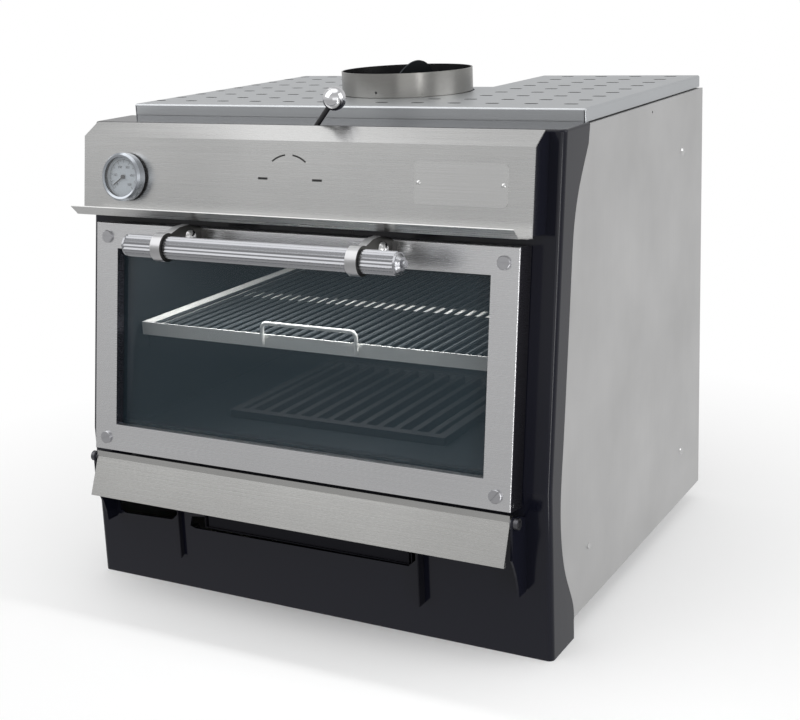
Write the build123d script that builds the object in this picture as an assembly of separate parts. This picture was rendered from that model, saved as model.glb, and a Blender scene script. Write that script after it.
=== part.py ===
from build123d import *
import math
import os

# Charcoal oven, in millimetres. X to the right, Y to the back, Z up.
# The pieces are laid out with Y = 0 on the lower front sheet and moved to the centre at the end.

# Driving dimensions
WIDTH = 740.0            # outside width of the black front surround
TABLE_Z = 0.0            # the surround's lower edge and the feet stand here
KINK_Z = 229.0           # height where the front starts to lean back
LEAN = 8.3               # lean of the upper front, degrees
TOP_Z = 681.0            # top of the surround
BACK_Y = 646.0           # rear face of the body
SKIRT_Y = 75.0           # depth of the surround's cheek at the table
WAIST_Y = 34.5           # depth of the surround's cheek at its waist
CHEEK_TOP_Y = 150.0      # depth of the surround's cheek at the top
BLACK_T = 2.0            # sheet of the surround
STEEL_T = 1.5            # stainless sheet
CORNER_R = 8.0           # bend radius at the surround's vertical corners
PANEL_GAP = 0.2          # air between sheets that lie on one another
PIN_CLEARANCE = 0.05     # running clearance of every pin in its hole, on the radius
BODY_BOTTOM_Z = 26.6     # underside of the body
BODY_DROP = 2.4          # top edge of the side panels, under the surround's top

HALF = WIDTH / 2
SIN = math.sin(math.radians(LEAN))
COS = math.cos(math.radians(LEAN))
FACE = Plane(origin=(0, 0, KINK_Z), x_dir=(1, 0, 0), z_dir=(0, -COS, SIN))
TOP_FRONT_Y = (TOP_Z - KINK_Z) * SIN / COS
BODY_TOP_Z = TOP_Z - BODY_DROP
FAR = WIDTH              # how far a cutter reaches past what it cuts

# Door, measured along the leaning face from the kink (low, high) and out of it
DOOR_INSET = 37.5        # door's edge to the surround's side
DOOR_HALF = HALF - DOOR_INSET
DOOR_LOW = -20.0
DOOR_HIGH = 312.5
DOOR_OUT = 37.0          # door face, proud of the leaning face
DOOR_BACK = 1.5          # rear edge of the door's returns
DOOR_T = 2.0             # folded sheet of the door
DOOR_SWING = 98.0        # how far the door opens, degrees
WINDOW_RIM = 38.5
WINDOW_HALF = DOOR_HALF - WINDOW_RIM
WINDOW_LOW = DOOR_LOW + 39.0
WINDOW_HIGH = DOOR_HIGH - 36.5
GLASS_T = 4.0
GLASS_OUT = 17.7         # rear face of the glass
HINGE_OUT = DOOR_OUT - 6.6
HINGE_S = DOOR_LOW + 8.3
HINGE_PIN_R = 3.0
HINGE_WALL = 1.3         # metal round the hinge pin
HINGE_BOSS_R = HINGE_PIN_R + HINGE_WALL
LUG_INSET = 3.0          # hinge lugs, inside the door's side returns
LUG_T = 5.0
LUG_OUT = DOOR_HALF - LUG_INSET
LUG_IN = LUG_OUT - LUG_T
LUG_CLEARANCE = 0.6      # between a lug's arm and the lower edge of the open door
LUG_SIDE_CLEARANCE = 0.8
SCREW_X = DOOR_HALF - 21.0
SCREW_LOW = DOOR_LOW + 18.4
SCREW_HIGH = DOOR_HIGH - 20.2
SCREW_R = 4.0
SCREW_HEAD_R = 9.0

# Handle
HANDLE_OUT = DOOR_OUT + 81.0
HANDLE_S = DOOR_HIGH - 23.5
BAR_R = 15.3
BRACKET_X = 150.0
BAR_END = 56.0           # bar past each bracket's middle
BAR_HALF = BRACKET_X + BAR_END
STRAP_T = 4.1
STRAP_R = BAR_R + STRAP_T
STRAP_W = 16.0
BRACKET_BOLT_OUT = DOOR_OUT + 28.5
BRACKET_BOLT_S = HANDLE_S + 13.5
BRACKET_BOLT_R = 4.0
FRONT_MOST_Y = -HANDLE_OUT * COS + HANDLE_S * SIN - STRAP_R

# Control panel
PANEL_INSET = 20.0
PANEL_HALF = HALF - PANEL_INSET
PANEL_OUT = 44.0
PANEL_LOW = DOOR_HIGH + 13.0
PANEL_TALL = 109.5
PANEL_HIGH = PANEL_LOW + PANEL_TALL
GAUGE_X = -PANEL_HALF + 79.0
GAUGE_S = PANEL_LOW + 53.3
GAUGE_R = 34.0
STEM_R = 3.0
STEM_WAY_R = STEM_R + 3.5
PLATE_MID_X = PANEL_HALF - 98.5
PLATE_MID_S = PANEL_LOW + 61.0
RIVET_PITCH = 58.5       # rivet to the plate's middle
PLATE_RIM = 6.0          # plate past each rivet
PLATE_HALF = RIVET_PITCH + PLATE_RIM
PLATE_TALL = 54.0
PLATE_T = 0.8
RIVET_R = 1.7

# Air flap and its ears
FLAP_CLEARANCE = 2.0     # flap's end to the ear
FLAP_HALF = DOOR_HALF - 1.5
FLAP_PIN_Y = -33.5
FLAP_PIN_Z = KINK_Z - 30.0
FLAP_PIN_R = 4.0
EAR_X = FLAP_HALF + FLAP_CLEARANCE
EAR_T = 3.0

# Ash drawer
DRAWER_MID_X = -4.0
DRAWER_HALF = 165.5
DRAWER_LOW = 99.5
DRAWER_TALL = 44.5
DRAWER_HIGH = DRAWER_LOW + DRAWER_TALL
DRAWER_FRONT = 5.0
DRAWER_LONG = 400.0

# Firebox
BOX_INSET = 72.0
BOX_HALF = HALF - BOX_INSET
BOX_LOW = KINK_Z + 9.0
BOX_HIGH = TOP_Z - 59.0
BOX_BACK = BACK_Y - 46.0
BOX_T = 3.0

# Flue and damper
FLUE_Y = 355.0
FLUE_R = 98.8
FLUE_T = 2.0
FLUE_TOP_Z = TOP_Z + 52.0
DAMPER_Z = TOP_Z - 22.0
DAMPER_R = FLUE_R - 10.8
DAMPER_TILT = 78.5       # disc against the level, at rest
SHAFT_R = 4.0
BUSH_R = SHAFT_R + 4.0
FACE_AT_DAMPER = (DAMPER_Z - KINK_Z) * SIN / COS
LEVER_STAND = 5.2302     # lever's middle, ahead of the leaning face
LEVER_Y = FACE_AT_DAMPER - LEVER_STAND
BALL_X = 48.4
BALL_Z = DAMPER_Z + 58.6
BALL_R = 15.8

# Perforated cover
COVER_INSET = 7.0
COVER_HALF = HALF - COVER_INSET
COVER_FRONT = CHEEK_TOP_Y + 4.0
COVER_TOP = TOP_Z + 17.0
COVER_LOW = TOP_Z - 0.7
COVER_HOLE_R = FLUE_R + 2.2
NOTCH_HALF = COVER_HOLE_R + 1.5
NOTCH_Y = FLUE_Y + 86.0

# Rack
RACK_Z = 371.0
RACK_H = 19.0
RACK_T = 2.0
RACK_FRONT = 40.0
RACK_BACK = BOX_BACK - 22.0
RACK_SIDE = 7.0          # air between the rack and the liner
RACK_HALF = BOX_HALF - RACK_SIDE
WIRE_R = 2.8

CENTRE_Y = (FRONT_MOST_Y + BACK_Y + 2.4) / 2

nodes = {}


def add(name, *solids):
    nodes[name] = list(solids)


def box(x0, x1, y0, y1, z0, z1):
    block = Box(x1 - x0, y1 - y0, z1 - z0)
    return block.moved(Location(((x0 + x1) / 2, (y0 + y1) / 2, (z0 + z1) / 2)))


def tilt(shape):
    # a shape drawn as (x, up the slope, out of the face) put on the leaning front
    return shape.moved(FACE.location)


def on_face(x, s, out):
    return (x, s * SIN - out * COS, KINK_Z + s * COS + out * SIN)


def prism_x(points, x0, x1):
    # a closed outline in the YZ plane, swept from x0 to x1
    wire = Polyline([(x0, y, z) for y, z in points], close=True)
    return extrude(make_face(wire), amount=x1 - x0, dir=(1, 0, 0))


def strip_x(points, thickness, x0, x1):
    # a folded sheet: an open outline in the YZ plane, thickened to its left side
    left = []
    count = len(points)
    for i in range(count):
        before = points[max(i - 1, 0)]
        here = points[i]
        after = points[min(i + 1, count - 1)]
        a = Vector(here[0] - before[0], here[1] - before[1], 0)
        b = Vector(after[0] - here[0], after[1] - here[1], 0)
        if i == 0:
            a = b
        if i == count - 1:
            b = a
        a = a.normalized()
        b = b.normalized()
        bisector = (Vector(-a.Y, a.X, 0) + Vector(-b.Y, b.X, 0)).normalized()
        reach = thickness / (bisector.X * -a.Y + bisector.Y * a.X)
        left.append((here[0] + bisector.X * reach, here[1] + bisector.Y * reach))
    return prism_x(list(points) + left[::-1], x0, x1)


def rod_x(x0, x1, y, z, r):
    bar = Cylinder(r, x1 - x0, rotation=(0, 90, 0))
    return bar.moved(Location(((x0 + x1) / 2, y, z)))


def rod_y(x, y0, y1, z, r):
    bar = Cylinder(r, y1 - y0, rotation=(90, 0, 0))
    return bar.moved(Location((x, (y0 + y1) / 2, z)))


def rod_z(x, y, z0, z1, r):
    bar = Cylinder(r, z1 - z0)
    return bar.moved(Location((x, y, (z0 + z1) / 2)))


def ring_z(x, y, z0, z1, outer, inner):
    return rod_z(x, y, z0, z1, outer) - rod_z(x, y, z0 - 1, z1 + 1, inner)


def hex_rod_y(x, y0, y1, z, r):
    outline = Plane.XZ.offset(-y0) * RegularPolygon(r, 6)
    return extrude(outline, amount=y1 - y0, dir=(0, 1, 0)).moved(Location((x, 0, z)))


def dome(r, height, segments_plane):
    # a domed head on a plane, its rim on the plane
    cap_r = (r * r + height * height) / (2 * height)
    ball = Sphere(cap_r).moved(Location((0, 0, height - cap_r)))
    keep = Cylinder(r + 1, height, align=(Align.CENTER, Align.CENTER, Align.MIN))
    return (ball & keep).moved(segments_plane.location)


# The black surround: leaning front, level top and cheeks with a waisted rear edge
cheek_edge = [
    (CHEEK_TOP_Y, TOP_Z),
    (CHEEK_TOP_Y - 6.0, TOP_Z - 26.0),
    (CHEEK_TOP_Y - 19.0, TOP_Z - 45.0),
    (CHEEK_TOP_Y - 42.0, TOP_Z - 81.0),
    (CHEEK_TOP_Y - 57.5, TOP_Z - 119.0),
    (WAIST_Y + 46.5, TOP_Z - 178.0),
    (WAIST_Y + 28.0, TOP_Z - 299.0),
    (WAIST_Y + 8.5, KINK_Z + 33.0),
    (WAIST_Y, KINK_Z - 24.0),
    (WAIST_Y + 3.0, KINK_Z - 89.0),
    (SKIRT_Y - 27.5, KINK_Z - 125.0),
    (SKIRT_Y - 14.0, KINK_Z - 153.0),
    (SKIRT_Y - 1.0, TABLE_Z + 47.0),
    (SKIRT_Y, TABLE_Z + 24.0),
]
rear_curve = Spline([(-HALF, y, z) for y, z in cheek_edge[1:]])
outline = [
    Line((-HALF, 0, TABLE_Z), (-HALF, 0, KINK_Z)),
    Line((-HALF, 0, KINK_Z), (-HALF, TOP_FRONT_Y, TOP_Z)),
    Line((-HALF, TOP_FRONT_Y, TOP_Z), (-HALF, CHEEK_TOP_Y, TOP_Z)),
    Line((-HALF, *cheek_edge[0]), (-HALF, *cheek_edge[1])),
    rear_curve,
    Line((-HALF, *cheek_edge[-1]), (-HALF, SKIRT_Y, TABLE_Z)),
    Line((-HALF, SKIRT_Y, TABLE_Z), (-HALF, 0, TABLE_Z)),
]
outer = extrude(make_face(Wire(outline)), amount=WIDTH, dir=(1, 0, 0))
corners = [e for e in outer.edges() if abs(e.center().X) > HALF - 0.1 and e.center().Y < TOP_FRONT_Y / 2 + 5]
corners = [e for e in corners if abs(e.tangent_at(0.5).Z) > 0.5 and e.center().Z > 1]
outer = fillet(corners, CORNER_R)
top_fold = [e for e in outer.edges() if abs(e.center().X) < 1 and abs(e.center().Z - TOP_Z) < 0.5]
top_fold = [e for e in top_fold if e.center().Y < TOP_FRONT_Y + 1]
outer = fillet(top_fold, 3.0)

t = BLACK_T
in_top_y = (TOP_Z - t - KINK_Z) * SIN / COS + t / COS
hollow = [(t, -5), (t, KINK_Z), (in_top_y, TOP_Z - t), (2 * CHEEK_TOP_Y, TOP_Z - t), (2 * CHEEK_TOP_Y, -5)]
inner = prism_x(hollow, -HALF + t, HALF - t)
inner_corners = [e for e in inner.edges() if abs(e.center().X) > HALF - t - 0.1]
inner_corners = [e for e in inner_corners if e.center().Y < TOP_FRONT_Y / 2 + 15]
inner_corners = [e for e in inner_corners if abs(e.tangent_at(0.5).Z) > 0.5]
inner = fillet(inner_corners, CORNER_R - t)
surround = outer - inner

# the firebox opening in the leaning face
OPEN_LOW = 9.0
OPEN_HIGH = DOOR_HIGH - 20.5
mouth = Box(2 * BOX_HALF, OPEN_HIGH - OPEN_LOW, 40).moved(Location((0, (OPEN_LOW + OPEN_HIGH) / 2, 0)))
surround -= tilt(mouth)

# the lower front: an air opening on the left and the ash drawer's mouth
MOUTH_HIGH = FLAP_PIN_Z - 13.0
MOUTH_CLEARANCE = 1.5
left = DRAWER_MID_X - DRAWER_HALF
right = DRAWER_MID_X + DRAWER_HALF
low = DRAWER_LOW
air_mouth = [
    (-330, low + 4.5), (-330, MOUTH_HIGH), (-223, MOUTH_HIGH), (-223, low + 11.5), (-233, low + 2.5), (-320, low - 0.5),
]
ash_mouth = [
    (left - 30.5, low - 1.5), (left - 21.5, low - 4.5), (right + MOUTH_CLEARANCE, low - 2.0), (right + 12.5, low + 8.5),
    (right + 12.5, MOUTH_HIGH), (left - 2.5, MOUTH_HIGH), (left - 2.5, low + 16.5), (left - 26.5, low + 13.5),
]
for mouth_outline in (air_mouth, ash_mouth):
    face = make_face(Polyline([(x, -10, z) for x, z in mouth_outline], close=True))
    surround -= extrude(face, amount=30, dir=(0, 1, 0))

# holes for the damper bush and the thermometer stem
surround -= rod_y(0, TOP_FRONT_Y - 20, TOP_FRONT_Y + 25, DAMPER_Z, BUSH_R + PANEL_GAP)
stem_hole = Cylinder(STEM_WAY_R, 30).moved(Location((GAUGE_X, GAUGE_S, 0)))
surround -= tilt(stem_hole)
add("front_surround", surround)

# Ears that carry the flap, and the two lugs it leans on
hinge_pin = on_face(0, HINGE_S, HINGE_OUT)
FOOT_Z = FLAP_PIN_Z - 47.0       # where the flap's lower edge comes to rest
ear_outline = [
    (0, FLAP_PIN_Z - 102.0), (-4, FLAP_PIN_Z - 104.7), (-25.3, FLAP_PIN_Z - 104.0), (-26.8, FLAP_PIN_Z - 90.0),
    (-31.5, FLAP_PIN_Z - 73.0), (-38, FLAP_PIN_Z - 58.0), (FLAP_PIN_Y - 10.5, FOOT_Z),
    (FLAP_PIN_Y - 8.5, FLAP_PIN_Z - 24.0),
    (FLAP_PIN_Y - 8.0, FLAP_PIN_Z), (FLAP_PIN_Y - 5.5, FLAP_PIN_Z + 6.0), (FLAP_PIN_Y, FLAP_PIN_Z + 8.0),
    (FLAP_PIN_Y + 9.5, FLAP_PIN_Z + 5.5), (0, FLAP_PIN_Z - 3.0),
]
for side, name in ((-1, "flap_ear_left"), (1, "flap_ear_right")):
    x0 = side * EAR_X
    x1 = side * (EAR_X + EAR_T)
    ear = prism_x(ear_outline, min(x0, x1), max(x0, x1))
    ear -= rod_x(-FAR, FAR, FLAP_PIN_Y, FLAP_PIN_Z, FLAP_PIN_R + PIN_CLEARANCE)
    add(name, ear)

rest_top = [
    (FLAP_PIN_Y - 10.5, FOOT_Z), (FLAP_PIN_Y - 18.0, FOOT_Z + 6.0), (FLAP_PIN_Y - 15.0, FOOT_Z + 14.0),
    (FLAP_PIN_Y + 3.5, FOOT_Z + 26.0), (0, FOOT_Z + 26.0),
]
left_rest = [(0, FOOT_Z - 102.0), (-7, FOOT_Z - 105.5), (-7, FOOT_Z - 19.0), (-14, FOOT_Z - 12.0)] + rest_top
right_rest = [(0, FOOT_Z - 103.0), (-15.5, FOOT_Z - 103.0), (-15.5, FOOT_Z - 18.0), (-20, FOOT_Z - 11.0)] + rest_top
LEFT_REST_X = -215.0
LEFT_REST_T = 1.5
RIGHT_REST_X = 184.7
RIGHT_REST_T = 1.7
add("flap_rest_lugs", prism_x(left_rest, LEFT_REST_X - LEFT_REST_T, LEFT_REST_X),
    prism_x(right_rest, RIGHT_REST_X, RIGHT_REST_X + RIGHT_REST_T))

# Hinge lugs that reach into the door from behind, each with its pin
# the arm is cut back below, where the lower edge of the open door comes round
swing = math.radians(DOOR_SWING)
edge_below_pin = (DOOR_LOW - HINGE_S) * math.cos(swing) - (DOOR_OUT - DOOR_T - HINGE_OUT) * math.sin(swing)
arm_low = HINGE_S + max(edge_below_pin + LUG_CLEARANCE, -HINGE_BOSS_R)
arm_high = HINGE_S + HINGE_BOSS_R
lugs = []
door_pins = []
for side in (-1, 1):
    a = side * LUG_IN
    b = side * LUG_OUT
    arm = Box(LUG_T, arm_high - arm_low, HINGE_OUT + 4)
    arm = arm.moved(Location((side * (LUG_IN + LUG_OUT) / 2, (arm_low + arm_high) / 2, (HINGE_OUT - 4) / 2)))
    lug = tilt(arm) + rod_x(min(a, b), max(a, b), hinge_pin[1], hinge_pin[2], HINGE_BOSS_R)
    lug -= box(-FAR, FAR, 0, 60, KINK_Z - 80, KINK_Z + 70)
    lug -= rod_x(-FAR, FAR, hinge_pin[1], hinge_pin[2], HINGE_PIN_R)
    lugs.append(lug)
    c = side * (DOOR_HALF - 0.1)
    door_pins.append(rod_x(min(a, c), max(a, c), hinge_pin[1], hinge_pin[2], HINGE_PIN_R))
add("door_hinge_lugs", *lugs)
add("door_pins", *door_pins)

# Air flap: a folded stainless strip with end tabs, hung on two pins


def by_pin(points):
    return [(FLAP_PIN_Y + y, FLAP_PIN_Z + z) for y, z in points]


flap_line = by_pin([(-4.5, 11.0), (-4.5, 2.0), (-26.5, -51.0), (-21.0, -52.2), (-19.7, -46.0)])
flap = strip_x(flap_line, STEEL_T, -FLAP_HALF, FLAP_HALF)
tab = by_pin([(-3.5, -8.0), (-3.5, 9.0), (3.5, 9.0), (7.5, 4.0), (7.5, -4.0), (3.5, -8.0)])
TAB_T = 2.0
HEAD_AIR = 0.4           # pin head to the ear
for side in (-1, 1):
    x0 = side * (FLAP_HALF - TAB_T)
    x1 = side * FLAP_HALF
    flap += prism_x(tab, min(x0, x1), max(x0, x1))
flap -= rod_x(-FAR, FAR, FLAP_PIN_Y, FLAP_PIN_Z, FLAP_PIN_R)
add("air_flap", flap)
flap_pins = []
for side in (-1, 1):
    a = side * (FLAP_HALF - TAB_T)
    b = side * (EAR_X + EAR_T + HEAD_AIR)
    c = side * (EAR_X + EAR_T + 6.0)
    d = side * FLAP_HALF
    e = side * (EAR_X - 0.3)
    pin = rod_x(min(a, b), max(a, b), FLAP_PIN_Y, FLAP_PIN_Z, FLAP_PIN_R)
    head = rod_x(min(b, c), max(b, c), FLAP_PIN_Y, FLAP_PIN_Z, FLAP_PIN_R + 3.5)
    collar = rod_x(min(d, e), max(d, e), FLAP_PIN_Y, FLAP_PIN_Z, FLAP_PIN_R + 2.5)
    dish = rod_x(min(c - side * 1.6, c), max(c - side * 1.6, c), FLAP_PIN_Y, FLAP_PIN_Z, FLAP_PIN_R + 0.6)
    flap_pins.append(pin + collar + head - dish)
add("flap_pins", *flap_pins)

# Door: folded frame, dark inner frame, glass, seal, screws
door_mid = (DOOR_LOW + DOOR_HIGH) / 2
door_tall = DOOR_HIGH - DOOR_LOW
window_mid = (WINDOW_LOW + WINDOW_HIGH) / 2
window_tall = WINDOW_HIGH - WINDOW_LOW


def slab(half, low, high, out0, out1):
    return Box(2 * half, high - low, out1 - out0).moved(Location((0, (low + high) / 2, (out0 + out1) / 2)))


skin = slab(DOOR_HALF, DOOR_LOW, DOOR_HIGH, DOOR_BACK, DOOR_OUT)
front_edges = [e for e in skin.edges() if e.center().Z > DOOR_OUT - 0.1]
skin = fillet(front_edges, 1.6)
skin -= slab(DOOR_HALF - DOOR_T, DOOR_LOW + DOOR_T, DOOR_HIGH - DOOR_T, DOOR_BACK - 1, DOOR_OUT - DOOR_T)
lining = slab(WINDOW_HALF + 2, WINDOW_LOW - 2, WINDOW_HIGH + 2, GLASS_OUT + GLASS_T + 0.3, DOOR_OUT - 1)
skin += lining
skin -= slab(WINDOW_HALF, WINDOW_LOW, WINDOW_HIGH, 10, DOOR_OUT + 5)
skin -= rod_x(-FAR, FAR, HINGE_S, HINGE_OUT, HINGE_PIN_R + PIN_CLEARANCE)
for side in (-1, 1):
    way = Box(LUG_T + 2 * LUG_SIDE_CLEARANCE, 40, DOOR_OUT - DOOR_T)
    skin -= way.moved(Location((side * (LUG_IN + LUG_OUT) / 2, DOOR_LOW, (DOOR_OUT - DOOR_T) / 2)))
door_holes = []
for x in (-SCREW_X, SCREW_X):
    for s in (SCREW_LOW, SCREW_HIGH):
        door_holes.append(Cylinder(SCREW_R + PANEL_GAP, 20).moved(Location((x, s, DOOR_OUT))))
for hole in door_holes:
    skin -= hole
add("door_frame", tilt(skin))



def inset(by, out0, out1):
    return slab(DOOR_HALF - by, DOOR_LOW + by, DOOR_HIGH - by, out0, out1)


core = inset(DOOR_T + 0.3, 4.0, GLASS_OUT - PANEL_GAP)
core -= slab(WINDOW_HALF - 4, WINDOW_LOW + 4, WINDOW_HIGH - 4, 0, 30)
core -= inset(9, 0, 6.5) - inset(21, -1, 8)
for side in (-1, 1):
    way = Box(LUG_T + 3, 30, 40)
    core -= way.moved(Location((side * (LUG_IN + LUG_OUT + 1) / 2, DOOR_LOW, 0)))
add("door_inner_frame", tilt(core))
pane = slab(WINDOW_HALF + 8, WINDOW_LOW - 8, WINDOW_HIGH + 8, GLASS_OUT, GLASS_OUT + GLASS_T)
add("door_glass", tilt(pane))
rope = inset(9.5, 0.4, 6.4)
rope -= inset(20.5, -1, 8)
add("door_seal", tilt(rope))

screws = []
for x in (-SCREW_X, SCREW_X):
    for s in (SCREW_LOW, SCREW_HIGH):
        head = Cylinder(SCREW_HEAD_R, 3.6, align=(Align.CENTER, Align.CENTER, Align.MIN))
        head = chamfer(head.edges().sort_by(Axis.Z)[-1], 0.8)
        head -= Box(20, 2.0, 3).moved(Location((0, 0, 3.6)))
        shank = Cylinder(SCREW_R, 12, align=(Align.CENTER, Align.CENTER, Align.MAX))
        screws.append(tilt((head + shank).moved(Location((x, s, DOOR_OUT)))))
add("door_screws", *screws)

# Handle: fluted bar, end caps, two strap brackets and their bolts
FLUTES = 20
rim = []
for i in range(FLUTES * 2):
    angle = math.radians(360 * i / (FLUTES * 2))
    r = BAR_R if i % 2 == 0 else BAR_R - 1.3
    rim.append((0, r * math.cos(angle), r * math.sin(angle)))
bar = extrude(make_face(Polyline(rim, close=True)), amount=2 * BAR_HALF, dir=(1, 0, 0))
bar = bar.moved(Location((-BAR_HALF, HANDLE_S, HANDLE_OUT)))
add("handle_bar", tilt(bar))


def cap(side):
    plug = Cylinder(BAR_R - 0.6, 3.0, align=(Align.CENTER, Align.CENTER, Align.MIN))
    cone = Cone(BAR_R - 2.2, BAR_R - 6.5, 4.5, align=(Align.CENTER, Align.CENTER, Align.MIN)).moved(Location((0, 0, 3)))
    boss = Cylinder(5.0, 4.0, align=(Align.CENTER, Align.CENTER, Align.MIN)).moved(Location((0, 0, 7.5)))
    whole = plug + cone + boss
    return whole.moved(Location((side * BAR_HALF, HANDLE_S, HANDLE_OUT), (0, 90 * side, 0)))


add("handle_cap_left", tilt(cap(-1)))
add("handle_cap_right", tilt(cap(1)))

# side outline of a bracket, (up the slope, out of the face)
arm_outline = [
    (HANDLE_S, DOOR_OUT), (HANDLE_S + 22.5, DOOR_OUT), (HANDLE_S + 26.5, DOOR_OUT + 9), (HANDLE_S + 29.5, DOOR_OUT + 32),
    (HANDLE_S + 26, HANDLE_OUT - 27), (HANDLE_S + 17, HANDLE_OUT - 6), (HANDLE_S + 11, HANDLE_OUT + 8),
    (HANDLE_S, HANDLE_OUT), (HANDLE_S - 11, HANDLE_OUT - 12), (HANDLE_S - 2, HANDLE_OUT - 34),
    (HANDLE_S - 1, DOOR_OUT + 23),
]
arm_bolts = []
for side, name in ((-1, "handle_bracket_left"), (1, "handle_bracket_right")):
    x = side * BRACKET_X
    loop = Cylinder(STRAP_R, STRAP_W, rotation=(0, 90, 0)).moved(Location((x, HANDLE_S, HANDLE_OUT)))
    side_face = make_face(Polyline([(x - STRAP_W / 2 + 2, s, out) for s, out in arm_outline], close=True))
    arm = extrude(side_face, amount=STRAP_W - 4, dir=(1, 0, 0))
    base = Box(STRAP_W + 10, 22.5, 3).moved(Location((x, HANDLE_S + 10.5, DOOR_OUT + 1.5)))
    bracket = loop + arm + base
    bracket -= Cylinder(BAR_R + 0.1, 60, rotation=(0, 90, 0)).moved(Location((x, HANDLE_S, HANDLE_OUT)))
    bolt_at = (BRACKET_BOLT_S, BRACKET_BOLT_OUT)
    bracket -= Cylinder(BRACKET_BOLT_R + 0.1, 60, rotation=(0, 90, 0)).moved(Location((x, *bolt_at)))
    add(name, tilt(bracket))
    near = x + STRAP_W / 2 - 2
    far = x - STRAP_W / 2 + 2
    shank = Cylinder(BRACKET_BOLT_R, STRAP_W - 3, rotation=(0, 90, 0)).moved(Location((x + 0.5, *bolt_at)))
    flange = Cylinder(BRACKET_BOLT_R + 4.0, 2.0, rotation=(0, 90, 0)).moved(Location((near + 1, *bolt_at)))
    head = dome(BRACKET_BOLT_R + 3.0, 6.0, Plane(origin=(near + 2, *bolt_at), z_dir=(1, 0, 0)))
    nut = Cylinder(BRACKET_BOLT_R + 3.0, 5.0, rotation=(0, 90, 0)).moved(Location((far - 2.5, *bolt_at)))
    arm_bolts.append(tilt(shank + flange + head + nut))
add("handle_bolts", *arm_bolts)

# Control panel: a folded hood with bevelled top and turned-up lip
panel_line = [
    (PANEL_OUT - 28.5, PANEL_HIGH + 21.0), (PANEL_OUT, PANEL_HIGH), (PANEL_OUT, PANEL_LOW), (PANEL_OUT + 22.5, PANEL_LOW),
    (PANEL_OUT + 38.0, PANEL_LOW + 11.0),
]
world_line = []
for out, s in panel_line:
    point = on_face(0, s, out)
    world_line.append((point[1], point[2]))
panel = strip_x(world_line, STEEL_T, -PANEL_HALF, PANEL_HALF)
for side in (-1, 1):
    relief = tilt(Box(16, 40, 40).moved(Location((side * PANEL_HALF, PANEL_LOW + 9.5, PANEL_OUT + 36))))
    panel -= relief
gauge_hole = Cylinder(14.0, 60).moved(Location((GAUGE_X, GAUGE_S, PANEL_OUT)))
panel -= tilt(gauge_hole)
for side in (-1, 1):
    rivet_hole = Cylinder(RIVET_R + 0.1, 20).moved(Location((PLATE_MID_X + side * RIVET_PITCH, PLATE_MID_S, PANEL_OUT)))
    panel -= tilt(rivet_hole)
add("control_panel", panel)

end_low = PANEL_LOW + STEEL_T + 0.3
end_out = PANEL_OUT - STEEL_T - 0.3
end_high = PANEL_HIGH + 18.9
end_corners = [
    (end_out, end_low), (end_out, PANEL_HIGH - 1.1), (PANEL_OUT - 28.8, end_high), (0.3, end_high), (0.3, end_low),
]
end_line = []
for out, s in end_corners:
    point = on_face(0, s, out)
    end_line.append((point[1], point[2]))
add("panel_end_left", prism_x(end_line, -PANEL_HALF + 0.2, -PANEL_HALF + 2.2))
add("panel_end_right", prism_x(end_line, PANEL_HALF - 2.2, PANEL_HALF - 0.2))

badge = Box(2 * PLATE_HALF, PLATE_TALL, PLATE_T).moved(Location((PLATE_MID_X, PLATE_MID_S, PANEL_OUT + PLATE_T / 2)))
badge = fillet(badge.edges().filter_by(Axis.Z), 6)
rivets = []
for side in (-1, 1):
    x = PLATE_MID_X + side * RIVET_PITCH
    badge -= Cylinder(RIVET_R + 0.1, 10).moved(Location((x, PLATE_MID_S, PANEL_OUT)))
    shank = Cylinder(RIVET_R, 4, align=(Align.CENTER, Align.CENTER, Align.MAX))
    shank = shank.moved(Location((x, PLATE_MID_S, PANEL_OUT + PLATE_T + 0.1)))
    head = dome(RIVET_R + 1.5, 1.6, Plane.XY.offset(PANEL_OUT + PLATE_T)).moved(Location((x, PLATE_MID_S, 0)))
    rivets.append(tilt(shank + head))
add("blank_plate", tilt(badge))
add("plate_rivets", *rivets)

# Thermometer
def turned(profile):
    # a turned piece on the thermometer's axis, from (radius, out) points
    face = make_face(Polyline([(r, 0, z) for r, z in profile], close=True))
    return tilt(revolve(face, Axis.Z, 360).moved(Location((GAUGE_X, GAUGE_S, 0))))


G0 = PANEL_OUT + PANEL_GAP
NECK_R = STEM_R + 3.0
NUT_R = 13.0
add("gauge_case", turned([(0, G0), (GAUGE_R - 2.5, G0), (GAUGE_R - 2.5, G0 + 15), (GAUGE_R - 4.5, G0 + 15),
                          (GAUGE_R - 4.5, G0 + 8), (0, G0 + 8)]))
add("gauge_bezel", turned([(GAUGE_R - 2.4, G0 + 4), (GAUGE_R, G0 + 4), (GAUGE_R, G0 + 15), (GAUGE_R - 3.0, G0 + 18),
                           (GAUGE_R - 6.0, G0 + 17), (GAUGE_R - 5.5, G0 + 15.2), (GAUGE_R - 2.4, G0 + 15.2)]))
add("gauge_dial", turned([(0, G0 + 8.1), (GAUGE_R - 4.7, G0 + 8.1), (GAUGE_R - 4.7, G0 + 9.0), (0, G0 + 9.0)]))
add("gauge_lens", turned([(0, G0 + 13.4), (GAUGE_R - 4.7, G0 + 13.4), (GAUGE_R - 4.7, G0 + 15.1), (0, G0 + 15.1)]))
add("gauge_stem", turned([(0, -70), (STEM_R, -70), (STEM_R, PANEL_OUT - 14), (NECK_R, PANEL_OUT - 14),
                          (NECK_R, G0 - 0.1), (0, G0 - 0.1)]))
add("gauge_nut", turned([(NECK_R + 0.1, PANEL_OUT - 8), (NUT_R, PANEL_OUT - 8), (NUT_R, PANEL_OUT - STEEL_T - PANEL_GAP),
                         (NECK_R + 0.1, PANEL_OUT - STEEL_T - PANEL_GAP)]))
needle_hub = Cylinder(3.0, 3.2).moved(Location((0, 0, G0 + 10.65)))
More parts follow.
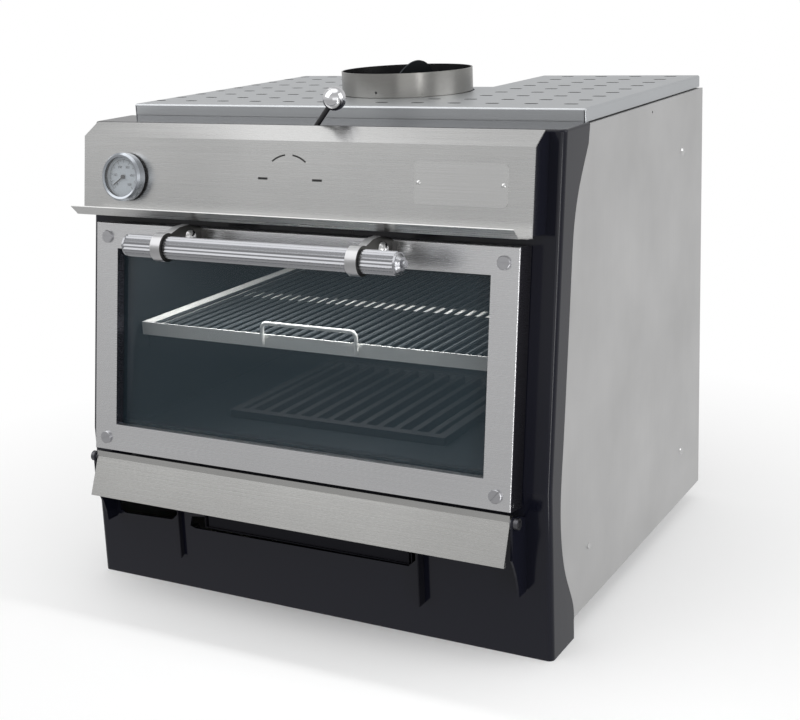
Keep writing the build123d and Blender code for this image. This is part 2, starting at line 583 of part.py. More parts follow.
needle_blade = Box(24, 1.6, 0.8).moved(Location((8.0, 0, G0 + 10.8)))
NEEDLE_ANGLE = 216.0
needle = (needle_hub + needle_blade).moved(Location((0, 0, 0), (0, 0, NEEDLE_ANGLE)))
add("gauge_needle", tilt(needle.moved(Location((GAUGE_X, GAUGE_S, 0)))))

# Side panels with folded edges, rear panel, base and top plates
SIDE_BOLT_R = 3.0
NIPPLE_R = 2.5
side_bolt_spots = [(BACK_Y - 101.0, BOX_HIGH - 30.0), (BACK_Y - 98.5, BODY_BOTTOM_Z + 83.9)]
nipple_spot = (SKIRT_Y + 60.5, BODY_BOTTOM_Z + 81.9)
side_front = (BODY_TOP_Z - KINK_Z) * SIN / COS + 9
for side, name in ((-1, "side_panel_left"), (1, "side_panel_right")):
    outside = HALF - BLACK_T - PANEL_GAP
    edge = [(9, BODY_BOTTOM_Z), (9, KINK_Z), (side_front, BODY_TOP_Z), (BACK_Y, BODY_TOP_Z), (BACK_Y, BODY_BOTTOM_Z)]
    x0 = side * outside
    x1 = side * (outside - STEEL_T)
    sheet = prism_x(edge, min(x0, x1), max(x0, x1))
    x2 = side * (outside - 14)
    sheet += box(min(x0, x2), max(x0, x2), side_front, BACK_Y, BODY_TOP_Z - STEEL_T, BODY_TOP_Z)
    sheet += box(min(x0, x2), max(x0, x2), 9, BACK_Y, BODY_BOTTOM_Z, BODY_BOTTOM_Z + STEEL_T)
    sheet += box(min(x0, x2), max(x0, x2), BACK_Y - STEEL_T, BACK_Y, BODY_BOTTOM_Z, BODY_TOP_Z)
    for y, z in side_bolt_spots:
        sheet -= rod_x(-FAR, FAR, y, z, SIDE_BOLT_R + PANEL_GAP)
    sheet -= rod_x(-FAR, FAR, BACK_Y - 243.5, BODY_TOP_Z - 12.1, 1.8)
    if side > 0:
        sheet -= rod_x(0, FAR, *nipple_spot, NIPPLE_R + 0.1)
    add(name, sheet)

inside = HALF - BLACK_T - PANEL_GAP - STEEL_T - PANEL_GAP
rear = box(-inside, inside, BACK_Y - 2 * STEEL_T - PANEL_GAP, BACK_Y - STEEL_T - PANEL_GAP,
           BODY_BOTTOM_Z + STEEL_T + PANEL_GAP, BODY_TOP_Z - STEEL_T - PANEL_GAP)
for row in range(3):
    for column in range(9):
        x = -240 + 60 * column
        z = BOX_HIGH - 52 + 22 * row
        rear -= box(x - 20, x + 20, BACK_Y - 20, BACK_Y + 5, z - 3, z + 3)
REAR_SCREW_R = 2.2
screw_x = inside - 8.1
screw_low = BODY_BOTTOM_Z + 33.4
screw_high = BODY_TOP_Z - 38.6
rear_screw_spots = [(x, z) for x in (-screw_x, screw_x) for z in (screw_low, (screw_low + screw_high) / 2, screw_high)]
for x, z in rear_screw_spots:
    rear -= rod_y(x, BACK_Y - 20, BACK_Y + 5, z, REAR_SCREW_R + 0.1)
add("rear_panel", rear)
for name in ("side_panel_left", "side_panel_right"):
    sheet = nodes[name][0]
    for x, z in rear_screw_spots:
        sheet -= rod_y(x, BACK_Y - 20, BACK_Y + 5, z, REAR_SCREW_R + 0.1)
    nodes[name] = [sheet]
rear_screws = []
for x, z in rear_screw_spots:
    head = dome(4.5, 2.4, Plane(origin=(x, BACK_Y, z), z_dir=(0, 1, 0)))
    rear_screws.append(head + rod_y(x, BACK_Y - 12, BACK_Y + 0.5, z, REAR_SCREW_R))
add("rear_screws", *rear_screws)

floor_z = BODY_BOTTOM_Z + STEEL_T + PANEL_GAP
base = box(-inside, inside, 8, BACK_Y - 4, floor_z, floor_z + STEEL_T)
FOOT_STEM_R = 5.0
foot_x = HALF - 80.0
foot_spots = [(x, y) for x in (-foot_x, foot_x) for y in (SKIRT_Y + 55.0, BACK_Y - 66.0)]
for x, y in foot_spots:
    base -= rod_z(x, y, TABLE_Z, floor_z + 30, FOOT_STEM_R + 0.1)
add("base_pan", base)
feet = []
for x, y in foot_spots:
    pad = rod_z(x, y, TABLE_Z, TABLE_Z + 8, 20) + rod_z(x, y, TABLE_Z + 8, floor_z - 0.05, 9)
    feet.append(pad + rod_z(x, y, floor_z - 1, floor_z + 8, FOOT_STEM_R))
add("feet", *feet)

lid_z = BODY_TOP_Z - 2 * STEEL_T - PANEL_GAP
lid = box(-inside, inside, CHEEK_TOP_Y + 1, BACK_Y - 4, lid_z - STEEL_T, lid_z)
lid -= rod_z(0, FLUE_Y, lid_z - 30, lid_z + 30, FLUE_R - 0.5)
add("body_top_plate", lid)

side_bolts = []
for side in (-1, 1):
    for y, z in side_bolt_spots:
        face_x = side * (HALF - BLACK_T - PANEL_GAP)
        head = dome(6.5, 3.0, Plane(origin=(face_x, y, z), z_dir=(side, 0, 0)))
        a = face_x
        b = face_x - side * 8
        side_bolts.append(head + rod_x(min(a, b), max(a, b), y, z, SIDE_BOLT_R))
add("side_bolts", *side_bolts)
nipple_x = HALF - BLACK_T - PANEL_GAP
nipple = rod_x(nipple_x - 8, nipple_x + 0.6, *nipple_spot, NIPPLE_R)
nipple += rod_x(nipple_x, nipple_x + 2.0, *nipple_spot, NIPPLE_R + 1.7)
add("oil_nipple", nipple)

# Perforated cover
cover = box(-COVER_HALF, COVER_HALF, COVER_FRONT, BACK_Y, COVER_LOW, COVER_TOP)
upper = [e for e in cover.edges() if e.center().Z > COVER_TOP - 0.1]
cover = fillet(upper, 3.0)
upright = [e for e in cover.edges().filter_by(Axis.Z)]
cover = fillet(upright, 2.0)
cover -= box(-COVER_HALF + STEEL_T, COVER_HALF - STEEL_T, COVER_FRONT + STEEL_T, BACK_Y - STEEL_T,
             COVER_LOW - 1, COVER_TOP - STEEL_T)
cover -= rod_z(0, FLUE_Y, COVER_LOW - 20, COVER_TOP + 20, COVER_HOLE_R)
cover -= box(-NOTCH_HALF, NOTCH_HALF, NOTCH_Y, BACK_Y + 5, COVER_LOW - 1, COVER_TOP + 1)
for side in (-1, 1):
    a = side * (COVER_HALF - 3.2)
    b = side * (COVER_HALF - 2.0)
    cover -= box(min(a, b), max(a, b), COVER_FRONT - 1, COVER_FRONT + 4, COVER_LOW - 1, COVER_TOP - 3)
SLOT_LONG = 20.0
SLOT_WIDE = 8.0
ROW_PITCH = 52.4
row_count = int((BACK_Y - COVER_FRONT - 69) / ROW_PITCH) + 1
slot_columns = [-COVER_HALF + 12 + 58.5 * k for k in range(6)] + [COVER_HALF - 39.5 - 57 * k for k in range(6)]
slot_rows = [COVER_FRONT + 49 + ROW_PITCH * k for k in range(row_count)]
cutters = []
for y in slot_rows:
    for x in slot_columns:
        near_flue = math.hypot(x, y - FLUE_Y) < COVER_HOLE_R + 18
        in_notch = abs(x) < NOTCH_HALF + 16 and y > NOTCH_Y - 12
        if not near_flue and not in_notch:
            block = Box(SLOT_LONG, SLOT_WIDE, 8)
            block = chamfer(block.edges().filter_by(Axis.Z), 2.6)
            cutters.append(block.moved(Location((x, y, COVER_TOP))))
cover = cover - cutters
add("perforated_cover", cover)
STAND_INSET_X = 70.0
STAND_INSET_Y = 46.0
STAND_HALF_X = 12.0
STAND_HALF_Y = 4.0
stands = []
for x in (STAND_INSET_X - HALF, HALF - STAND_INSET_X):
    for y in (COVER_FRONT + STAND_INSET_Y, BACK_Y - STAND_INSET_Y):
        stands.append(box(x - STAND_HALF_X, x + STAND_HALF_X, y - STAND_HALF_Y, y + STAND_HALF_Y,
                          lid_z + 0.01, COVER_TOP - STEEL_T - 0.01))
add("cover_stands", *stands)

# Flue collar, duct and butterfly damper
collar_outline = [
    (FLUE_R - FLUE_T, lid_z + 0.1), (FLUE_R - 0.8, lid_z + 0.1), (FLUE_R - 0.8, COVER_TOP + 1), (FLUE_R, COVER_TOP + 1),
    (FLUE_R, FLUE_TOP_Z), (FLUE_R - FLUE_T, FLUE_TOP_Z),
]
collar = revolve(make_face(Polyline([(r, 0, z) for r, z in collar_outline], close=True)), Axis.Z, 360)
collar = collar.moved(Location((0, FLUE_Y, 0)))
RIVET_Z = COVER_TOP + 8.0
collar -= rod_y(0, FLUE_Y - 2 * FLUE_R, FLUE_Y, RIVET_Z, 1.9)
add("flue_collar", collar)
rivet_y = FLUE_Y - FLUE_R
rivet = rod_y(0, rivet_y - 2.0, rivet_y + 4.0, RIVET_Z, 1.9)
rivet = rivet & rod_z(0, FLUE_Y, COVER_TOP, FLUE_TOP_Z, FLUE_R - 0.1)
add("flue_rivet", rivet)
duct_r = FLUE_R - 0.8
duct = ring_z(0, FLUE_Y, BOX_HIGH + BOX_T + PANEL_GAP, lid_z - STEEL_T - PANEL_GAP, duct_r, duct_r - FLUE_T)
duct -= rod_y(0, FLUE_Y - FAR / 2, FLUE_Y + FAR / 2, DAMPER_Z, SHAFT_R + 1.0)
add("flue_duct", duct)

shaft = rod_y(0, LEVER_Y - 8, FLUE_Y + FLUE_R + 12, DAMPER_Z, SHAFT_R)
disc = rod_z(0, FLUE_Y, DAMPER_Z - 1, DAMPER_Z + 1, DAMPER_R)
axle = Location((0, 0, DAMPER_Z)) * Location((0, 0, 0), (0, -DAMPER_TILT, 0)) * Location((0, 0, -DAMPER_Z))
disc = disc.moved(axle)
add("damper_shaft", shaft - disc)
add("damper_disc", disc)
LEVER_R = 3.5
lever_reach = math.hypot(BALL_X, BALL_Z - DAMPER_Z)
lever_turn = math.degrees(math.atan2(BALL_X, BALL_Z - DAMPER_Z))
lever = rod_z(0, LEVER_Y, 6, lever_reach - BALL_R + 2, LEVER_R)
hub = rod_y(0, LEVER_Y - 4.5, LEVER_Y + 3.0, 0, SHAFT_R + 5.0)
lever = (lever + hub).moved(Location((0, 0, DAMPER_Z), (0, lever_turn, 0)))
lever -= shaft
ball = Sphere(BALL_R).moved(Location((BALL_X, LEVER_Y, BALL_Z)))
ball -= lever
add("damper_lever", lever)
add("lever_ball", ball)
front_bush = rod_y(0, FACE_AT_DAMPER, FACE_AT_DAMPER + 24, DAMPER_Z, BUSH_R)
front_bush -= rod_y(0, 0, FLUE_Y, DAMPER_Z, SHAFT_R + PIN_CLEARANCE)
rear_bush = rod_y(0, FLUE_Y + FLUE_R + PANEL_GAP, FLUE_Y + FLUE_R + 8, DAMPER_Z, BUSH_R)
rear_bush -= rod_y(0, FLUE_Y, FLUE_Y + 2 * FLUE_R, DAMPER_Z, SHAFT_R + PIN_CLEARANCE)
rear_bush -= rod_z(0, FLUE_Y, DAMPER_Z - 50, DAMPER_Z + 50, FLUE_R + 0.1)
add("damper_bushes", front_bush, rear_bush)

# Firebox liner, open at the front, with a mouth for the flue and one over the ash drawer
shell = box(-BOX_HALF - BOX_T, BOX_HALF + BOX_T, -20, BOX_BACK + BOX_T, BOX_LOW - BOX_T, BOX_HIGH + BOX_T)
shell -= box(-BOX_HALF, BOX_HALF, -40, BOX_BACK, BOX_LOW, BOX_HIGH)
front_cut = Box(2 * FAR, 900, 200).moved(Location((0, 200, 100 - BLACK_T - PANEL_GAP)))
shell -= tilt(front_cut)
shell -= box(-FAR, FAR, -60, 8, 200, KINK_Z + 30)
shell -= rod_z(0, FLUE_Y, BOX_HIGH - 20, BOX_HIGH + 20, duct_r - FLUE_T)
GRATE_HALF = DRAWER_HALF - 0.5
GRATE_FRONT = 110.0
GRATE_BACK = 380.0
GRATE_TALL = 12.0
GRATE_RIM = 14.0
grate_left = DRAWER_MID_X - GRATE_HALF
grate_right = DRAWER_MID_X + GRATE_HALF
shell -= box(grate_left, grate_right, GRATE_FRONT, GRATE_BACK, BOX_LOW - 30, BOX_LOW + 1)
stem_way = Cylinder(STEM_WAY_R, 100).moved(Location((GAUGE_X, GAUGE_S, -50)))
shell -= tilt(stem_way)
add("firebox_liner", shell)

grate_low = BOX_LOW + PANEL_GAP
grate_high = grate_low + GRATE_TALL
frame = box(grate_left - GRATE_RIM, grate_right + GRATE_RIM, GRATE_FRONT - GRATE_RIM, GRATE_BACK + GRATE_RIM,
            grate_low, grate_high)
frame -= box(grate_left, grate_right, GRATE_FRONT, GRATE_BACK, BOX_LOW - 30, BOX_LOW + 60)
GRATE_BARS = 12
bar_pitch = 2 * GRATE_HALF / GRATE_BARS
for i in range(GRATE_BARS):
    x = grate_left + bar_pitch * (i + 0.5)
    frame += box(x - 5, x + 5, GRATE_FRONT - 1, GRATE_BACK + 1, grate_low, grate_high)
add("fire_grate", frame)

# Ash chamber under the grate and the drawer in it
low = DRAWER_LOW - 0.1
CHAMBER_HALF = DRAWER_HALF + 5.5
DRAWER_BACK = DRAWER_FRONT + DRAWER_LONG
x0 = DRAWER_MID_X - CHAMBER_HALF
x1 = DRAWER_MID_X + CHAMBER_HALF
chamber_back = DRAWER_BACK + 19.0
chamber = box(x0, x1, BLACK_T + 1.2, chamber_back, low - STEEL_T, BOX_LOW - BOX_T - PANEL_GAP)
chamber -= box(x0 + STEEL_T, x1 - STEEL_T, 0, chamber_back - STEEL_T, low, BOX_LOW + 62)
chamber -= box(x0 - 5, x0 + 5, 40, 300, DRAWER_HIGH + 16, BOX_LOW - 28)
add("ash_chamber", chamber)
x0 = DRAWER_MID_X - DRAWER_HALF
x1 = DRAWER_MID_X + DRAWER_HALF
drawer = box(x0, x1, DRAWER_FRONT, DRAWER_BACK, DRAWER_LOW, DRAWER_HIGH)
drawer -= box(x0 + STEEL_T, x1 - STEEL_T, DRAWER_FRONT + STEEL_T, DRAWER_BACK - STEEL_T,
              DRAWER_LOW + STEEL_T, DRAWER_HIGH + 5)
pull = box(-58 + DRAWER_MID_X, 58 + DRAWER_MID_X, 0, DRAWER_FRONT + 5, DRAWER_HIGH - 20, DRAWER_HIGH - 8)
drawer -= pull
add("ash_drawer", drawer)

# Cooking rack on two rails
rails = []
for side in (-1, 1):
    wall = side * (BOX_HALF - 0.1)
    ledge = side * (BOX_HALF - RACK_SIDE - 13)
    foot = side * (BOX_HALF - 0.1 - RACK_T)
    angle_bar = box(min(wall, foot), max(wall, foot), RACK_FRONT + 20, BOX_BACK - 5, RACK_Z - 24, RACK_Z - 0.1)
    angle_bar += box(min(wall, ledge), max(wall, ledge), RACK_FRONT + 20, BOX_BACK - 5, RACK_Z - RACK_T - 0.1, RACK_Z - 0.1)
    rails.append(angle_bar)
add("rack_rails", *rails)
rack = box(-RACK_HALF, RACK_HALF, RACK_FRONT, RACK_FRONT + RACK_T, RACK_Z, RACK_Z + RACK_H)
rack += box(-RACK_HALF, RACK_HALF, RACK_BACK - RACK_T, RACK_BACK, RACK_Z, RACK_Z + RACK_H)
for side in (-1, 1):
    a = side * RACK_HALF
    b = side * (RACK_HALF - RACK_T)
    rack += box(min(a, b), max(a, b), RACK_FRONT, RACK_BACK, RACK_Z, RACK_Z + RACK_H)
cross_y = RACK_FRONT + 260
rack += box(-RACK_HALF + 1, RACK_HALF - 1, cross_y, cross_y + 4, RACK_Z, RACK_Z + 8)
add("rack_frame", rack)
rods = []
ROD_COUNT = 34
for i in range(ROD_COUNT):
    x = (2 * RACK_HALF - 2 * RACK_T) * ((i + 0.5) / ROD_COUNT - 0.5)
    rods.append(hex_rod_y(x, RACK_FRONT + RACK_T + 0.05, RACK_BACK - RACK_T - 0.05, RACK_Z + 12.5, 2.6))
add("rack_rods", *rods)
GRIP_HALF = 76.0
grip_top = RACK_Z + RACK_H + 17
grip_low = RACK_Z + 4
grip_y = RACK_FRONT - WIRE_R - 0.4
grip_path = Polyline([(-GRIP_HALF, grip_y, grip_low), (-GRIP_HALF, grip_y, grip_top), (GRIP_HALF, grip_y, grip_top),
                      (GRIP_HALF, grip_y, grip_low)])
grip_path = fillet(grip_path.vertices().filter_by_position(Axis.Z, grip_top - 1, grip_top + 1), 8)
grip = sweep(Plane(origin=(-GRIP_HALF, grip_y, grip_low), z_dir=(0, 0, 1)) * Circle(WIRE_R), grip_path)
add("rack_grip", grip)

# Insulation between the liner and the outer sheets
WOOL_SEAT = 0.3
TOP_WOOL_FRONT = 130.0
wool = []
for side in (-1, 1):
    a = side * (BOX_HALF + BOX_T + WOOL_SEAT)
    b = side * (inside - 10)
    wool.append(box(min(a, b), max(a, b), SKIRT_Y + 35, BOX_BACK, KINK_Z - 109, BOX_HIGH - 22))
wool.append(box(-inside + 3, inside - 3, BOX_BACK + BOX_T + WOOL_SEAT, BACK_Y - 14, screw_low, BOX_HIGH - 62))
top_wool = box(-BOX_HALF, BOX_HALF, TOP_WOOL_FRONT, BOX_BACK, BOX_HIGH + BOX_T + WOOL_SEAT, BOX_HIGH + BOX_T + 22)
top_wool -= rod_z(0, FLUE_Y, BOX_HIGH - 20, BOX_HIGH + 80, FLUE_R + 3)
top_wool -= tilt(Cylinder(10, 300).moved(Location((GAUGE_X, GAUGE_S, -100))))
wool.append(top_wool)
add("insulation", *wool)

os.makedirs("parts", exist_ok=True)
shift = Location((0, -CENTRE_Y, 0))
for name, solids in nodes.items():
    flat = []
    for shape in solids:
        for solid in shape.solids():
            flat.append(solid)
    whole = flat[0] if len(flat) == 1 else Compound(children=flat)
    export_step(whole.moved(shift), "parts/" + name + ".step")
print("centre", CENTRE_Y, "hinge", hinge_pin, "nodes", len(nodes))
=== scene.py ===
import bpy
import math
from mathutils import Matrix, Vector


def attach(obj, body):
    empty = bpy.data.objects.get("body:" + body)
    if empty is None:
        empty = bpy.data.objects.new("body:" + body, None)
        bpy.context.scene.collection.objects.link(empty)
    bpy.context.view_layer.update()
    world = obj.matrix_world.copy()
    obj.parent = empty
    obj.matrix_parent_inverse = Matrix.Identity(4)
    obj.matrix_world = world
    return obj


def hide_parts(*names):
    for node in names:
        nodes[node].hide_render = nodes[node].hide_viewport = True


# Charcoal oven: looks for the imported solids, in metres, in the part's own frame.
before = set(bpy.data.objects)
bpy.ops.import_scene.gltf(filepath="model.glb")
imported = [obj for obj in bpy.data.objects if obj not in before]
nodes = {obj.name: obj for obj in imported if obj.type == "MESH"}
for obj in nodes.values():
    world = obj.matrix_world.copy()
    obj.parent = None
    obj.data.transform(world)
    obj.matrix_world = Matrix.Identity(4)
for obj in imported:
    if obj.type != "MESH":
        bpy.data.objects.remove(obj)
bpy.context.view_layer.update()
scene = bpy.context.scene

SHIFT = 0.2769774        # metres from the front's foot back to the part's middle
KINK = 229.0             # height where the front starts to lean back
LEAN = math.radians(8.3)
SIN = math.sin(LEAN)
COS = math.cos(LEAN)


# Places, in millimetres: x across, s up the leaning face, out ahead of it
DOOR_OUT = 37.0
PANEL_OUT = 44.0
FLUE_Y = 355.0
COVER_FRONT = 154.0
COVER_HALF = 363.0


def at(x, y, z):
    # a point given in the drawing's millimetres
    return Vector((x / 1000, y / 1000 - SHIFT, z / 1000))


def on_face(x, s, out):
    # a point given by its place on the leaning face
    return at(x, s * SIN - out * COS, KINK + s * COS + out * SIN)


# Materials
def new_material(name):
    mat = bpy.data.materials.new(name)
    mat.use_nodes = True
    tree = mat.node_tree
    return mat, tree, tree.nodes["Principled BSDF"]


def put(shader, **values):
    for key, value in values.items():
        shader.inputs[key.replace("_", " ")].default_value = value


def coords(tree, scale):
    source = tree.nodes.new("ShaderNodeTexCoord")
    mapping = tree.nodes.new("ShaderNodeMapping")
    mapping.inputs["Scale"].default_value = scale
    tree.links.new(source.outputs["Object"], mapping.inputs["Vector"])
    return mapping.outputs["Vector"]


def noise(tree, vector, scale, detail=3.0, rough=0.5):
    node = tree.nodes.new("ShaderNodeTexNoise")
    node.inputs["Scale"].default_value = scale
    node.inputs["Detail"].default_value = detail
    node.inputs["Roughness"].default_value = rough
    tree.links.new(vector, node.inputs["Vector"])
    return node.outputs["Fac"]


def ramp(tree, fac, stops):
    node = tree.nodes.new("ShaderNodeValToRGB")
    ramp_stops = node.color_ramp.elements
    ramp_stops[0].position, ramp_stops[0].color = stops[0]
    ramp_stops[1].position, ramp_stops[1].color = stops[-1]
    for position, color in stops[1:-1]:
        element = ramp_stops.new(position)
        element.color = color
    tree.links.new(fac, node.inputs["Fac"])
    return node.outputs["Color"]


def grey(v):
    return (v, v, v, 1)


def span(tree, fac, low, high, start=0.0, end=1.0):
    # a value that runs from start to end, carried over to low to high
    node = tree.nodes.new("ShaderNodeMapRange")
    node.inputs["From Min"].default_value = start
    node.inputs["From Max"].default_value = end
    node.inputs["To Min"].default_value = low
    node.inputs["To Max"].default_value = high
    tree.links.new(fac, node.inputs["Value"])
    return node.outputs["Result"]


def calc(tree, operation, value, other=0.0):
    # other is a number or the output of another node
    node = tree.nodes.new("ShaderNodeMath")
    node.operation = operation
    tree.links.new(value, node.inputs[0])
    if isinstance(other, float):
        node.inputs[1].default_value = other
    else:
        tree.links.new(other, node.inputs[1])
    return node.outputs["Value"]


def vector_calc(tree, operation, value):
    node = tree.nodes.new("ShaderNodeVectorMath")
    node.operation = operation
    tree.links.new(value, node.inputs[0])
    return node


def split(tree, vector):
    node = tree.nodes.new("ShaderNodeSeparateXYZ")
    tree.links.new(vector, node.inputs["Vector"])
    return node.outputs


def bump(tree, shader, height, strength, distance):
    node = tree.nodes.new("ShaderNodeBump")
    node.inputs["Strength"].default_value = strength
    node.inputs["Distance"].default_value = distance
    tree.links.new(height, node.inputs["Height"])
    tree.links.new(node.outputs["Normal"], shader.inputs["Normal"])


def by_side(tree, low, high):
    # painted shade: one colour on faces that look ahead or up, a shaded one on faces that look sideways
    facing = tree.nodes.new("ShaderNodeNewGeometry")
    sideways = calc(tree, "ABSOLUTE", split(tree, facing.outputs["Normal"])["X"])
    return ramp(tree, sideways, [(0.75, low), (0.95, high)])


def multiply(tree, a, b):
    mix = tree.nodes.new("ShaderNodeMix")
    mix.data_type = "RGBA"
    mix.blend_type = "MULTIPLY"
    mix.inputs["Factor"].default_value = 1.0
    tree.links.new(a, mix.inputs["A"])
    tree.links.new(b, mix.inputs["B"])
    return mix.outputs["Result"]


def brushed(name, color, rough, grain, mottle, depth=0.07, relief=0.12, sides=None):
    # rolled stainless sheet: fine lines along the grain and a slow drift of tone; the optional sides colour is
    # painted shade on faces that look sideways
    mat, tree, shader = new_material(name)
    put(shader, Metallic=1.0)
    lines = noise(tree, coords(tree, grain), 1.0, 4.0, 0.65)
    cloud = noise(tree, coords(tree, (1, 1, 1)), 5.5, 3.0, 0.55)
    tone = ramp(tree, lines, [(0.3, (*[c * (1.0 - depth) for c in color], 1)), (0.7, (*color, 1))])
    drift = ramp(tree, cloud, [(0.3, (*[1.0 - mottle] * 3, 1)), (0.7, grey(1.0))])
    final = multiply(tree, tone, drift)
    if sides:
        final = multiply(tree, final, by_side(tree, grey(1.0), sides))
    tree.links.new(final, shader.inputs["Base Color"])
    tree.links.new(span(tree, lines, rough - ROUGH_DRIFT, rough + ROUGH_DRIFT), shader.inputs["Roughness"])
    bump(tree, shader, lines, relief, 0.0004)
    return mat


def plain(name, color, metallic, rough, **more):
    mat, tree, shader = new_material(name)
    put(shader, Base_Color=(*color, 1), Metallic=metallic, Roughness=rough, **more)
    return mat


ROUGH_DRIFT = 0.07
ALONG_X = (3.0, 900.0, 900.0)
ALONG_Z = (900.0, 900.0, 3.0)
# painted shade: the door frame's faces that look sideways are darkened by this colour
DOOR_SIDE_SHADE = (0.28, 0.27, 0.31, 1)
door_steel = brushed("door_steel", (0.755, 0.755, 0.768), 0.27, ALONG_X, 0.05, 0.03, 0.03, DOOR_SIDE_SHADE)
flap_steel = brushed("flap_steel", (0.55, 0.547, 0.535), 0.27, ALONG_X, 0.08)
panel_steel = brushed("panel_steel", (0.65, 0.65, 0.645), 0.28, ALONG_X, 0.10, 0.06, 0.08)
side_steel = brushed("side_steel", (0.69, 0.688, 0.687), 0.36, ALONG_Z, 0.14)
top_steel = brushed("top_steel", (0.64, 0.66, 0.68), 0.36, ALONG_X, 0.05)

# the cover's slots are punched: their walls, inside the fold of the sheet, are darkened with painted shade
EDGE_IN = 3.0
tree = top_steel.node_tree
color_input = tree.nodes["Principled BSDF"].inputs["Base Color"]
facing = tree.nodes.new("ShaderNodeNewGeometry")
place = split(tree, facing.outputs["Position"])
upright = calc(tree, "LESS_THAN", calc(tree, "ABSOLUTE", split(tree, facing.outputs["Normal"])["Z"]), 0.5)
within = calc(tree, "LESS_THAN", calc(tree, "ABSOLUTE", place["X"]), (COVER_HALF - EDGE_IN) / 1000)
behind = calc(tree, "GREATER_THAN", place["Y"], (COVER_FRONT + 11.0) / 1000 - SHIFT)
slot_wall_shade = calc(tree, "MULTIPLY", calc(tree, "MULTIPLY", upright, within), behind)
shade = ramp(tree, slot_wall_shade, [(0.0, grey(1.0)), (1.0, grey(0.12))])
tree.links.new(multiply(tree, color_input.links[0].from_socket, shade), color_input)

bright_steel = plain("bright_steel", (0.70, 0.70, 0.70), 1.0, 0.18)
bar_steel = plain("bar_steel", (0.42, 0.425, 0.445), 1.0, 0.24)
bezel_steel = plain("bezel_steel", (0.50, 0.53, 0.57), 1.0, 0.22)
# painted shade: the screw heads get a darker copy of the bright steel, for the shade around and in them
screw_shade_steel = plain("screw_shade_steel", (0.50, 0.50, 0.52), 1.0, 0.3)
pin_steel = plain("pin_steel", (0.13, 0.13, 0.14), 1.0, 0.35)
chrome = plain("chrome_ball", (0.80, 0.80, 0.82), 1.0, 0.04)
liner = brushed("liner_steel", (0.06, 0.068, 0.075), 0.5, ALONG_X, 0.25)
zinc = plain("zinc", (0.5, 0.51, 0.52), 1.0, 0.42)

black_gloss, tree, shader = new_material("black_gloss")
put(shader, Base_Color=(0.007, 0.0075, 0.014, 1), Roughness=0.13, Specular_IOR_Level=0.33)
ripple = noise(tree, coords(tree, (1, 1, 1)), 420.0, 2.0, 0.5)
bump(tree, shader, ripple, 0.05, 0.0003)

black_matt, tree, shader = new_material("black_matt")
put(shader, Base_Color=(0.010, 0.010, 0.012, 1), Roughness=0.5)
speck = noise(tree, coords(tree, (1, 1, 1)), 900.0, 2.0, 0.5)
bump(tree, shader, speck, 0.15, 0.0003)

soot = plain("soot_black", (0.008, 0.008, 0.012), 0.0, 0.6, Specular_IOR_Level=0.15)
# painted shade: the body's top plate under the perforated cover is near black, so the cover's slots read dark
lid_shade_black = plain("lid_shade_black", (0.035, 0.042, 0.055), 0.6, 0.6)
oven_glass = plain("oven_glass", (0.034, 0.058, 0.074), 0.0, 0.03, Alpha=0.34)
lens_glass = plain("lens_glass", (0.9, 0.92, 0.93), 0.0, 0.02, Alpha=0.10)
dial_white = plain("dial_white", (0.52, 0.57, 0.62), 0.0, 0.45)
ink = plain("ink_black", (0.012, 0.012, 0.012), 0.0, 0.5)
rope = plain("rope", (0.35, 0.33, 0.28), 0.0, 0.9)
wool = plain("wool", (0.45, 0.42, 0.3), 0.0, 0.95)
rubber = plain("rubber", (0.02, 0.02, 0.02), 0.0, 0.7)
brass = plain("brass", (0.62, 0.45, 0.2), 1.0, 0.35)
grate_iron = plain("grate_iron", (0.03, 0.03, 0.032), 0.6, 0.6)
# painted reflection: the rack's steel is a matt near white, standing in for the bright room it reflects
rack_steel = plain("rack_steel", (0.93, 0.93, 0.90), 0.0, 0.4)
rod_steel = plain("rod_steel", (0.056, 0.064, 0.068), 0.4, 0.5)
plate_metal = brushed("plate_metal", (0.70, 0.70, 0.695), 0.22, ALONG_X, 0.04)

# the bracket's forged arm: bright on the strap, with painted shade darkening its cheeks, which look sideways
bracket_steel, tree, shader = new_material("bracket_steel")
put(shader, Metallic=1.0, Roughness=0.3)
tree.links.new(by_side(tree, (0.56, 0.56, 0.57, 1), (0.085, 0.083, 0.078, 1)), shader.inputs["Base Color"])

# the collar: its steel on faces that look away from its axis, near-black and hardly metallic on faces that look in
# towards it
flue_steel, tree, shader = new_material("flue_steel")
put(shader, Metallic=1.0, Roughness=0.26)
facing = tree.nodes.new("ShaderNodeNewGeometry")
from_axis = vector_calc(tree, "SUBTRACT", facing.outputs["Position"])
from_axis.inputs[1].default_value = at(0, FLUE_Y, 700.0)
outward = vector_calc(tree, "DOT_PRODUCT", from_axis.outputs["Vector"])
tree.links.new(facing.outputs["Normal"], outward.inputs[1])
outside = span(tree, outward.outputs["Value"], 0.0, 1.0, -0.09, 0.09)
COLLAR_INSIDE = (0.012, 0.012, 0.013, 1)
COLLAR = (0.325, 0.32, 0.305, 1)
tree.links.new(ramp(tree, outside, [(0.2, COLLAR_INSIDE), (0.6, COLLAR)]), shader.inputs["Base Color"])
tree.links.new(ramp(tree, outside, [(0.2, grey(0.1)), (0.6, grey(1.0))]), shader.inputs["Metallic"])

